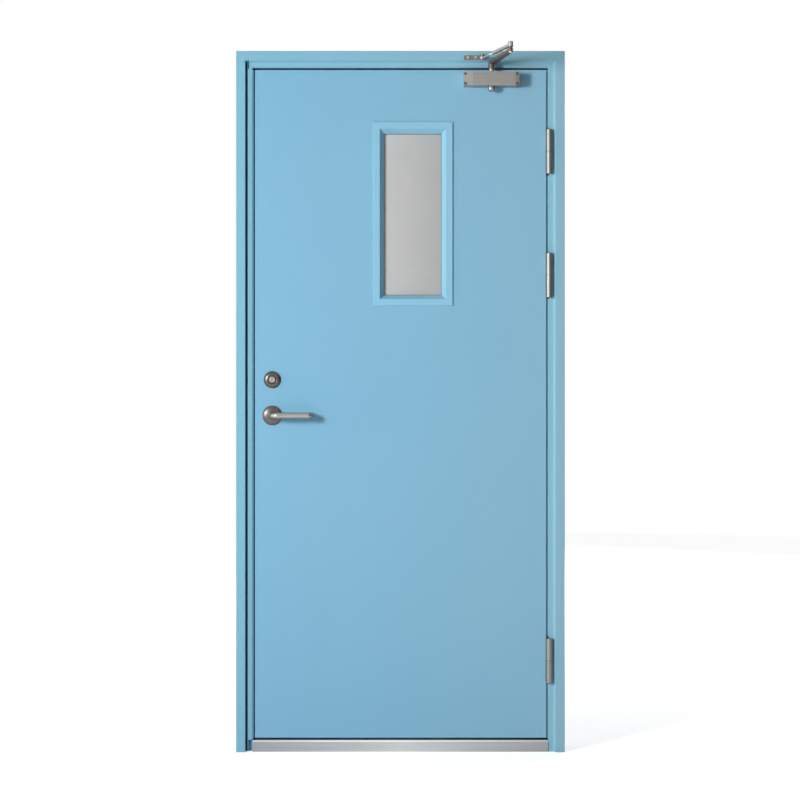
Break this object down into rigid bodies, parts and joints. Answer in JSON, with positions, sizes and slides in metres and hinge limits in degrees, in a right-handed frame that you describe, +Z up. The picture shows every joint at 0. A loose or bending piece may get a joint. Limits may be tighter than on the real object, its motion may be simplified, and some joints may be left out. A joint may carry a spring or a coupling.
{
  "type": "fire door",
  "caption": "Single-leaf steel fire door in a rebated frame with a glazed panel, lever lock, lift-off hinges, overhead closer and steel sill.",
  "frame": {"origin": "middle of the sill's underside, half way through the frame's depth", "axes": "+X towards the hinge side as seen from the pull side, +Y from the pull side to the push side, +Z up"},
  "size_m": [1, 0.3451, 2.133],
  "materials": {
    "frame_paint": "satin blue paint",
    "leaf_paint": "satin blue paint",
    "vision_paint": "satin blue paint",
    "sill_steel": "brushed",
    "seal": "matte",
    "core_board": "rough mineral board",
    "obscured_glass": "obscured",
    "hinge_steel": "satin",
    "lock_steel": "satin",
    "furniture_steel": "satin",
    "cylinder_brass": "nickel-plated",
    "closer_casting": "silver paint",
    "arm_steel": "silver paint"
  },
  "bodies": {
    "frame": {"hinge_jamb": "frame_paint", "lock_jamb": "frame_paint", "frame_head": "frame_paint", "foot_plate": "frame_paint", "corner_cleat": "frame_paint", "sill": "sill_steel", "hinge_jamb_seal": "seal", "lock_jamb_seal": "seal", "head_seal": "seal", "strike_plate": "lock_steel", "top_hinge_frame_half": "hinge_steel", "middle_hinge_frame_half": "hinge_steel", "bottom_hinge_frame_half": "hinge_steel", "closer_shoe": "arm_steel"},
    "leaf": {"leaf_front_skin": "leaf_paint", "leaf_back_skin": "leaf_paint", "leaf_core": "core_board", "vision_frame_front": "vision_paint", "vision_frame_back": "vision_paint", "vision_glass": "obscured_glass", "lock_forend": "lock_steel", "lock_case": "lock_steel", "latch_bolt": "lock_steel", "dead_bolt": "lock_steel", "lever_rose_front": "furniture_steel", "lever_rose_back": "furniture_steel", "cylinder_collar": "furniture_steel", "key_cylinder": "cylinder_brass", "thumbturn_rose": "furniture_steel", "thumbturn": "furniture_steel", "top_hinge_leaf_half": "hinge_steel", "middle_hinge_leaf_half": "hinge_steel", "bottom_hinge_leaf_half": "hinge_steel", "closer_body": "closer_casting", "closer_cap_left": "closer_casting", "closer_cap_right": "closer_casting", "closer_dome": "closer_casting"},
    "lever_set": {"lever_front": "furniture_steel", "lever_back": "furniture_steel", "lever_spindle": "furniture_steel"},
    "main_arm": {"closer_main_arm": "arm_steel", "closer_pinion": "arm_steel"},
    "forearm": {"closer_forearm": "arm_steel", "closer_rod": "arm_steel"}
  },
  "joints": [
    {"name": "leaf_swing", "type": "hinge", "parent": "frame", "child": "leaf", "pos_m": [0.452, -0.055, 0], "axis": [0, 0, 1], "range_deg": [0, 90], "stiffness_Nm_per_rad": 8, "springref_deg": -28.65},
    {"name": "lever_turn", "type": "hinge", "parent": "leaf", "child": "lever_set", "pos_m": [-0.39, -0.02, 1.024], "axis": [0, 1, 0], "range_deg": [0, 45], "stiffness_Nm_per_rad": 2, "springref_deg": -25.78},
    {"name": "main_arm_turn", "type": "hinge", "parent": "leaf", "child": "main_arm", "pos_m": [0.2756, -0.073, 2.08], "axis": [0, 0, 1], "range_deg": [-179.28, 0]},
    {"name": "forearm_turn", "type": "hinge", "parent": "frame", "child": "forearm", "pos_m": [0.248, -0.07, 2.108], "axis": [0, 0, 1], "range_deg": [-13.66, 0]}
  ],
  "couplings": [
    {"joint": "main_arm_turn", "follows": "leaf_swing", "ratio": -1.9865},
    {"joint": "forearm_turn", "follows": "leaf_swing", "ratio": -0.14626}
  ]
}
